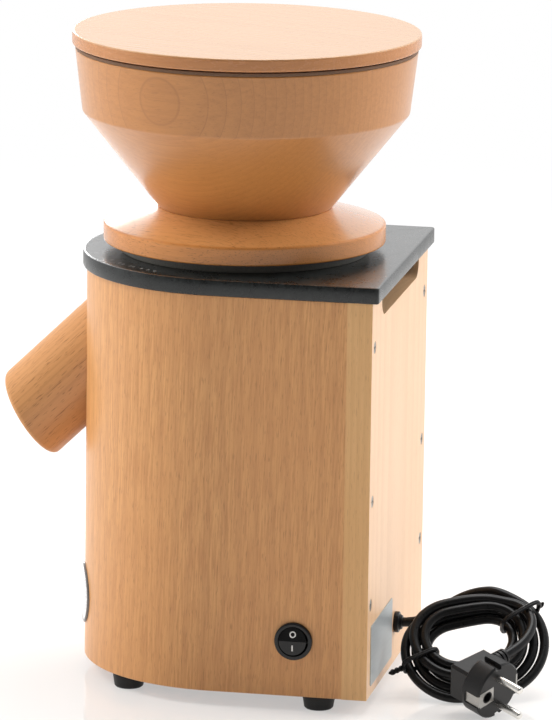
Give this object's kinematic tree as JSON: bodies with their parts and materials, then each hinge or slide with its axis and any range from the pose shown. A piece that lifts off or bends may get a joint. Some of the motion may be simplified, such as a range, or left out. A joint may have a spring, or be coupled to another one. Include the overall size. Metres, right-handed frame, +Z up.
{
  "type": "grain mill",
  "caption": "Electric stone grain mill: wooden cabinet with rounded front, slanted spout, screw-adjusted hopper with lid, rocker switch and coiled power cord.",
  "frame": {"origin": "middle of the object's footprint, without the cord, on the surface that it stands on", "axes": "+Z up, spout towards -Y, switch on the +X side, cord at the back (+Y)"},
  "size_m": [0.2154, 0.3506, 0.404],
  "materials": {
    "beech": "oiled",
    "beech_lid": "oiled",
    "beech_panel": "oiled",
    "plywood": "raw",
    "slate_plate": "satin",
    "ring_grey": "satin",
    "chamber_grey": "matt",
    "felt": "felted",
    "lid_seal": "matt",
    "millstone": "rough ceramic",
    "steel": "satin",
    "core_steel": "varnished",
    "copper": "enamelled",
    "cast_aluminium": "as cast",
    "rubber_black": "matt",
    "badge_white": "gloss",
    "switch_black": "gloss",
    "inner_plastic": "matt",
    "cord_black": "semi-gloss",
    "wire": "semi-gloss",
    "tie_black": "matt",
    "plug_grey": "matt",
    "pin_metal": "polished"
  },
  "bodies": {
    "housing": {"side_shell": "beech", "back_panel": "beech_panel", "back_panel_screws": "steel", "top_plate": "slate_plate", "base_plate": "plywood", "base_battens": "plywood", "base_screws": "steel", "rubber_feet": "rubber_black", "foot_screws": "steel", "front_badge": "badge_white", "spout": "beech", "threaded_ring": "ring_grey", "ring_screws": "steel", "grinding_chamber": "chamber_grey", "chamber_screws": "steel", "shaft_seal": "rubber_black", "motor_board": "plywood", "board_ledges": "plywood", "board_screws": "steel", "motor_top_shield": "cast_aluminium", "motor_bottom_shield": "cast_aluminium", "stator_core": "core_steel", "stator_windings": "copper", "motor_bolts": "steel", "motor_nuts": "steel", "upper_bearing": "steel", "lower_bearing": "steel", "switch_housing": "switch_black", "capacitor": "inner_plastic", "terminal_block": "inner_plastic", "inner_cord": "cord_black", "cord_clamp": "inner_plastic", "switch_leads": "wire", "motor_leads": "wire", "cord_grommet": "cord_black", "power_cord_lead": "cord_black", "power_cord_coil": "cord_black", "power_cord_tail": "cord_black", "cord_ties": "tie_black", "plug_body": "plug_grey", "plug_pins": "pin_metal", "plug_earth_contacts": "pin_metal"},
    "rotor": {"motor_shaft": "steel", "rotor_core": "core_steel", "cooling_fan": "inner_plastic", "stone_carrier": "cast_aluminium", "drive_pin": "steel", "lower_stone": "millstone", "stone_nut": "inner_plastic"},
    "neck_seal": {"felt_ring": "felt"},
    "hopper": {"threaded_neck": "ring_grey", "neck_screws": "steel", "upper_stone": "millstone", "hopper_collar": "beech", "hopper_funnel": "beech"},
    "lid": {"lid": "beech_lid", "lid_locating_disc": "beech", "lid_underlay": "lid_seal"},
    "rocker": {"switch_rocker": "switch_black"}
  },
  "joints": [
    {"name": "millstone_spin", "type": "hinge", "parent": "housing", "child": "rotor", "pos_m": [0, 0.02172, 0], "axis": [0, 0, 1], "continuous": true},
    {"name": "hopper_lift", "type": "slide", "parent": "housing", "child": "neck_seal", "axis": [0, 0, 1], "range_m": [0, 0.012]},
    {"name": "hopper_turn", "type": "hinge", "parent": "neck_seal", "child": "hopper", "pos_m": [0, 0.02172, 0], "axis": [0, 0, 1], "range_deg": [0, 1080]},
    {"name": "lid_lift", "type": "slide", "parent": "hopper", "child": "lid", "axis": [0, 0, 1], "range_m": [0, 0.1]},
    {"name": "rocker_tilt", "type": "hinge", "parent": "housing", "child": "rocker", "pos_m": [0.0975, 0.07472, 0.0441], "axis": [0, 1, 0], "range_deg": [0, 16]}
  ],
  "couplings": [
    {"joint": "hopper_lift", "follows": "hopper_turn", "m_per_rad": 0.00063662}
  ]
}
